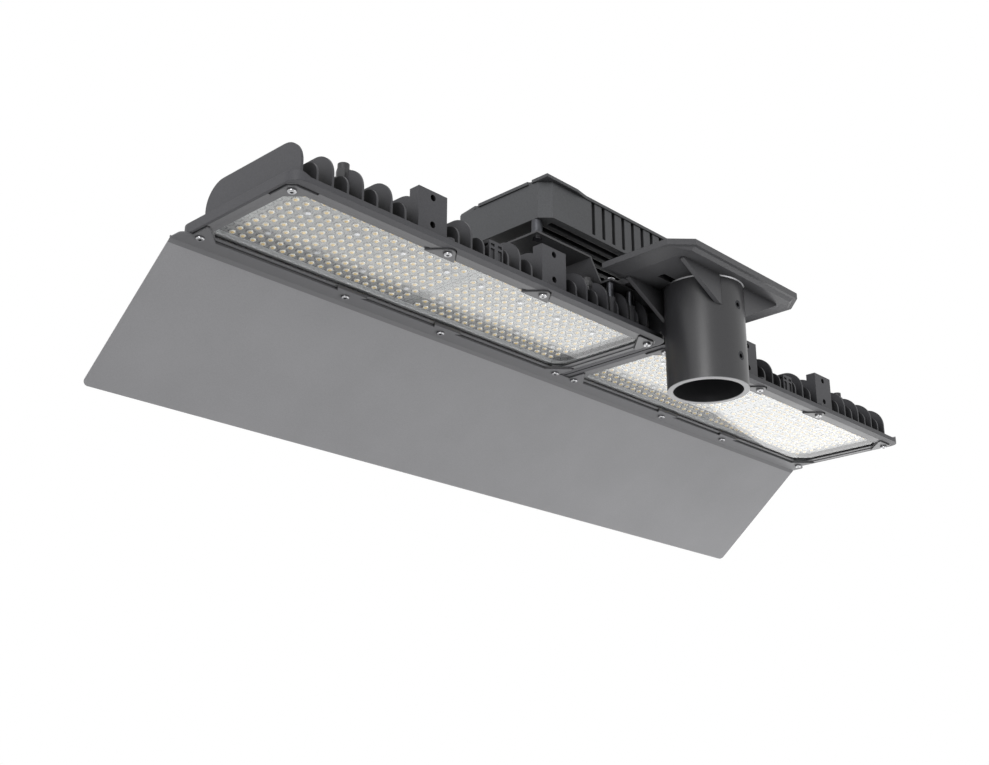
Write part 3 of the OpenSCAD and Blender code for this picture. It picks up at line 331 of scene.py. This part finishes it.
# %% LED board finish
PITCH_X, PITCH_Y, FIRST_COLUMN = 9.54*MM, 9.51*MM, 10.35*MM
COLUMNS, ROWS = 19, 10
PHOSPHOR_R, CHIP_SLACK = 1.15*MM, 0.15*MM
seam_low, seam_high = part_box("led_board_3")[1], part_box("led_board_4")[0]
module_x = (seam_low.x + seam_high.x)/2
module_y = (seam_low.y + seam_high.y)/2
chip_z = seam_high.z


def from_led(tree, where):
    """Distance to the nearest LED: d = (u - round(u)) times pitch along x and y, where u counts
    pitches from the first LED; x is folded at the light's middle and at the module's middle."""
    x, y, z = add(tree, "SeparateXYZ", {0: where}).outputs
    from_middle = reckon(tree, "SUBTRACT", reckon(tree, "ABSOLUTE", x), module_x)
    first_row = module_y - (ROWS - 1)/2*PITCH_Y
    offsets = []
    for along, first, pitch in ((reckon(tree, "ABSOLUTE", from_middle), FIRST_COLUMN, PITCH_X),
                                (y, first_row, PITCH_Y)):
        counted = reckon(tree, "DIVIDE", reckon(tree, "SUBTRACT", along, first), pitch)
        off = reckon(tree, "SUBTRACT", counted, reckon(tree, "ROUND", counted))
        offsets.append(reckon(tree, "MULTIPLY", off, pitch))
    flat = add(tree, "CombineXYZ", dict(enumerate(offsets))).outputs[0]
    return add(tree, "VectorMath", {0: flat}, operation="LENGTH").outputs["Value"]


def board_finish():
    """White mask with slow stains; on the chips, a patch of phosphor within PHOSPHOR_R of the middle."""
    material, tree, shader = new_finish("white_led_board", IOR=1.5)
    where = places(tree)
    height = add(tree, "SeparateXYZ", {0: where}).outputs[2]
    on_chip = reckon(tree, "LESS_THAN", height, chip_z + CHIP_SLACK)
    patch = reckon(tree, "LESS_THAN", from_led(tree, where), PHOSPHOR_R)
    stain = noise(tree, where, 12, 3.0)
    mask = mixed(tree, stain, linear("#CCCCCC"), linear("#DADAD9"))
    board = mixed(tree, reckon(tree, "MULTIPLY", on_chip, patch), mask, linear("#DDBE6C"))
    feed(tree, shader, Base_Color=board, Roughness=spread(tree, stain, 0.35, 0.5),
         Normal=raised(tree, stain, 0.1, 0.1))
    return material


wear(board_finish(), "led_board_1", "led_board_2", "led_board_3", "led_board_4")
print("boards, middle of a module at x = %.1f, y = %.1f mm" % (module_x/MM, module_y/MM))

# %% [markdown]
# ## Phosphor domes
# Seen from low down, each chip of the real light looks like a small yellow ball, because its lens
# enlarges it. The lenses here have flat pockets and bend light less, so a low cap of phosphor on each
# chip gives that look. A cap is wider than its chip and deeper than the pocket, so it stands partly in
# the clear plate. All caps of one board are one mesh, made from a grid of rings and repeated by numpy.

# %% LED domes
DOME_R, DOME_H, SEAM = 2.2*MM, 1.1*MM, 0.6*MM
SCREW_COLUMNS, SCREW_ROWS = (1, 6, 11, 16), (2, 7)


def chip_places(board, side):
    """Middle of each chip as x and y: columns are counted from the seam outwards in pitches, rows
    from one edge to the other. Where a lens screw sits there is no chip."""
    low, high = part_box(board)
    seam_x = high.x + SEAM/2 if side < 0 else low.x - SEAM/2
    column, row = np.meshgrid(np.arange(COLUMNS), np.arange(ROWS), indexing="ij")
    chip = ~(np.isin(column, SCREW_COLUMNS) & np.isin(row, SCREW_ROWS))
    x = seam_x + side*(FIRST_COLUMN + column*PITCH_X)
    y = (low.y + high.y)/2 + (row - (ROWS - 1)/2)*PITCH_Y
    return np.stack([x[chip], y[chip]], 1)


def dome_grid(middles, rim_z, rings=3, sides=10):
    """A low dome hanging at each middle. Ring k of n lies at the angle a = 90*k/n degrees above the
    rim, with radius R*cos(a) and depth H*sin(a); a tip closes it. Gives points, quads, tips and cos(a)."""
    rise = np.radians(90*np.arange(rings)/rings)[:, None]
    turn = np.radians(360*np.arange(sides)/sides)[None, :]
    ring = np.stack([DOME_R*np.cos(rise)*np.cos(turn), DOME_R*np.cos(rise)*np.sin(turn),
                     -DOME_H*np.sin(rise) + 0*turn], 2).reshape(-1, 3)
    dome = np.vstack([ring, [[0, 0, -DOME_H]]])
    near_rim = np.append(np.repeat(np.cos(rise), sides), 0)
    here, after = np.arange(sides), (np.arange(sides) + 1) % sides
    below = sides*np.arange(rings - 1)[:, None]
    quads = np.stack([below + after, below + here, below + sides + here, below + sides + after],
                     2).reshape(-1, 4)
    last = sides*(rings - 1)
    tips = np.stack([last + after, last + here, np.full(sides, last + sides)], 1)
    centres = np.column_stack([middles, np.full(len(middles), rim_z)])
    points = (centres[:, None, :] + dome).reshape(-1, 3)
    first = len(dome)*np.arange(len(middles))[:, None, None]
    every_quad, every_tip = (first + quads).reshape(-1, 4), (first + tips).reshape(-1, 3)
    return points, every_quad, every_tip, np.tile(near_rim, len(middles))


def phosphor_finish():
    """Silicone with phosphor, yellow at the tip and cream at the rim, by the attribute near_rim."""
    material, tree, shader = new_finish("phosphor_in_silicone", Roughness=0.25, IOR=1.41)
    rim = add(tree, "Attribute", attribute_name="near_rim").outputs["Fac"]
    ramp = add(tree, "ValToRGB", {0: rim})
    tip, edge = ramp.color_ramp.elements
    tip.position, tip.color = 0.5, linear("#DCB964")
    edge.position, edge.color = 0.9, linear("#FFFDF6")
    feed(tree, shader, Base_Color=ramp.outputs[0])
    return material


phosphor = phosphor_finish()
for number, side in ((1, -1), (2, 1), (3, -1), (4, 1)):
    board = "led_board_%d" % number
    points, quads, tips, near_rim = dome_grid(chip_places(board, side), chip_z)
    mesh = bpy.data.meshes.new("led_domes_%d" % number)
    mesh.from_pydata(points.tolist(), [], quads.tolist() + tips.tolist())
    mesh.attributes.new("near_rim", "FLOAT", "POINT").data.foreach_set("value", near_rim)
    mesh.shade_smooth()
    mesh.materials.append(phosphor)
    domes = bpy.data.objects.new("led_domes_%d" % number, mesh)
    scene.collection.objects.link(domes)
    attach(domes, "light")
    print(board, "has", len(mesh.polygons), "faces of domes")

# %% [markdown]
# ## Clear parts
# Lens plates are moulded acrylic and the window is float glass. With the true index, light at a low angle
# would be turned back at the flat pockets and the chips would be lost. So light goes through the glass
# nearly straight and is bent only a little by the lenses, while a coat with the true index mirrors the
# room. A lamp's light that goes through glass is slow to find, so for shadow rays the material is simply
# see-through, tinted by what the pane takes.

# %% Glass and acrylic
LENS_R = 3.5*MM


def lens_rims(tree, where, tint, rim):
    """Tint that darkens to rim at the foot of each lens, where light is bent away: the darkness
    falls off over 0.3 to 1.3 mm on either side of the lens radius, as a fine ripple has it."""
    gap = reckon(tree, "ABSOLUTE", reckon(tree, "SUBTRACT", from_led(tree, where), LENS_R))
    width = spread(tree, noise(tree, where, 1.5, 2.0), 0.3*MM, 1.3*MM, 0.35, 0.65)
    share = reckon(tree, "MINIMUM", reckon(tree, "DIVIDE", gap, width), 1.0)
    return mixed(tree, share, linear(rim), linear(tint))


def clear(name, tint, bend, mirror_ior, roughness, smear_mm, smear, rim=None):
    """Clear part that bends light by the index bend and mirrors it by mirror_ior in its coat;
    see-through for the lamps' shadows; roughness plus slow smears."""
    material, tree, shader = new_finish(name, Base_Color=linear(tint), IOR=bend, Roughness=0.0,
                                        Transmission_Weight=1.0, Coat_Weight=1.0, Coat_IOR=mirror_ior,
                                        Coat_Roughness=roughness)
    where = places(tree)
    smears = noise(tree, where, smear_mm, 3.0)
    feed(tree, shader, Roughness=spread(tree, smears, roughness, roughness + smear, 0.4, 0.7))
    if rim:
        feed(tree, shader, Base_Color=lens_rims(tree, where, tint, rim))
    ray = add(tree, "LightPath").outputs["Is Shadow Ray"]
    open_pane = add(tree, "BsdfTransparent", {"Color": linear(tint)})
    both = add(tree, "MixShader", {0: ray, 1: shader.outputs[0], 2: open_pane.outputs[0]})
    feed(tree, tree.nodes["Material Output"], Surface=both.outputs[0])
    return material


wear(clear("clear_acrylic_lens", "#FAFAFA", 1.25, 1.49, 0.02, 8.0, 0.01, rim="#94949A"),
     "lens_plate_1", "lens_plate_2", "lens_plate_3", "lens_plate_4")
wear(clear("clear_float_glass", "#F9FAFA", 1.01, 1.5, 0.0, 45.0, 0.004), "glass_left", "glass_right")
print("two clear finishes")

# %% [markdown]
# ## World and lamps
# The photograph has a white ground with no edge. The camera, mirrors and glass see a white world, while
# the object is lit by that world at a plain level and by large soft lamps. Two of the lamps are hidden
# from mirrors and glass, because their square edges would show in the window panes.

# %% World and lamps
WHITE, LEVEL = 1.0, 0.65
MIDDLE = (0, 0.1, 0.05)


def sight_rays(tree):
    """A switch that is 1 for camera, glossy and transmission rays, and 0 for all others."""
    rays = add(tree, "LightPath").outputs
    seen = reckon(tree, "MAXIMUM", rays["Is Camera Ray"], rays["Is Glossy Ray"])
    return reckon(tree, "MAXIMUM", seen, rays["Is Transmission Ray"])


def ground_light(tree):
    """WHITE for camera, glossy and transmission rays, LEVEL for all others."""
    return add(tree, "MapRange", {"Value": sight_rays(tree), "To Min": LEVEL, "To Max": WHITE}).outputs[0]


def set_world():
    """A world that gives the ground light from all sides."""
    world = bpy.data.worlds.new("studio")
    scene.world = world
    world.use_nodes = True
    ground = world.node_tree.nodes["Background"]
    ground.inputs["Color"].default_value = (1, 1, 1, 1)
    feed(world.node_tree, ground, Strength=ground_light(world.node_tree))


def facing_light(position):
    """The matrix that stands at position with its own -Z towards MIDDLE and its X level."""
    back = np.array(position) - np.array(MIDDLE)
    back /= np.linalg.norm(back)
    side = np.cross((0.0, 0.0, 1.0), back)
    side /= np.linalg.norm(side)
    pose = Matrix((side, np.cross(back, side), back)).transposed().to_4x4()
    pose.translation = position
    return pose


def soft_lamp(name, position, size, watts, mirrored=True):
    """A square area lamp that faces the light. Panes and metal mirror it only if mirrored."""
    data = bpy.data.lights.new(name, "AREA")
    data.shape, data.size, data.energy = "SQUARE", size, watts
    lamp = bpy.data.objects.new(name, data)
    lamp.visible_glossy = lamp.visible_transmission = mirrored
    lamp.matrix_world = facing_light(position)
    scene.collection.objects.link(lamp)


set_world()
soft_lamp("left_lamp", (-3.0, 0.2, 0.1), 1.5, 4)
soft_lamp("front_left_lamp", (-2.65, -1.4, 0.2), 1.2, 52)
soft_lamp("low_front_lamp", (1.5, -1.3, -2.2), 1.5, 20)
soft_lamp("low_right_lamp", (1.9, 0.1, -1.2), 1.2, 20, mirrored=False)
soft_lamp("far_lamp", (3.4, 3.4, -1.3), 2.0, 6, mirrored=False)
print("five lamps and a white world")

# %% [markdown]
# ## Floor and screen
# The floor lies well below the camera, because the light hangs high on its pole and is seen from below.
# It is pale paper for the lamps and white for sight. In the photograph the right window mirrors something
# bright that lies beyond the light and below it. A wide screen stands there: hidden from the camera, it
# gives what the world gives and more towards its middle, so the panes mirror it without an edge.

# %% Floor and screen
FLOOR_Z, FLOOR_HALF = -2.6, 10.0


def level_square(name, half, height=0.0):
    """A square at this height, half from its middle to each side, added to the scene."""
    corners = np.array([[-1, -1, 0], [1, -1, 0], [1, 1, 0], [-1, 1, 0]])*half + (0, 0, height)
    sheet = bpy.data.meshes.new(name)
    sheet.from_pydata(corners.tolist(), [], [(0, 1, 2, 3)])
    square = bpy.data.objects.new(name, sheet)
    scene.collection.objects.link(square)
    return square


def white_to_sight():
    """Pale paper that is plain white for camera, glossy and transmission rays."""
    material, tree, shader = new_finish("pale_studio_paper", Roughness=0.9, Base_Color=linear("#EDEDED"))
    white = add(tree, "Emission", {"Color": (1, 1, 1, 1), "Strength": WHITE})
    either = add(tree, "MixShader", {0: sight_rays(tree), 1: shader.outputs[0], 2: white.outputs[0]})
    feed(tree, tree.nodes["Material Output"], Surface=either.outputs[0])
    return material


def screen_light(name, radius, boost):
    """The ground light, and at distance d from the middle boost*(1 - 3*t^2 + 2*t^3) more, t = d/radius."""
    material, tree, shader = new_finish(name)
    off = add(tree, "VectorMath", {0: places(tree)}, operation="LENGTH").outputs["Value"]
    share = add(tree, "MapRange", {"Value": off, "From Max": radius, "To Min": 1.0, "To Max": 0.0},
                interpolation_type="SMOOTHSTEP").outputs[0]
    strength = reckon(tree, "MULTIPLY_ADD", share, boost, ground_light(tree))
    light = add(tree, "Emission", {"Color": (1, 1, 1, 1), "Strength": strength})
    feed(tree, tree.nodes["Material Output"], Surface=light.outputs[0])
    tree.nodes.remove(shader)
    return material


def soft_box(name, position, radius, boost):
    """A wide screen lit from behind that faces the light and that the camera doesn't see."""
    screen = level_square(name, radius)
    screen.matrix_world = facing_light(position)
    screen.visible_camera = False
    screen.data.materials.append(screen_light(name, radius, boost))


floor = level_square("floor", FLOOR_HALF, FLOOR_Z)
floor.data.materials.append(white_to_sight())
soft_box("far_right_screen", (3.3, 1.5, -0.75), 3.1, 0.9)
print("floor at %.1f m and one screen" % FLOOR_Z)

# %% [markdown]
# ## Tone
# The picture is shown without any tone curve.

# %% View transform
scene.view_settings.view_transform = "Standard"
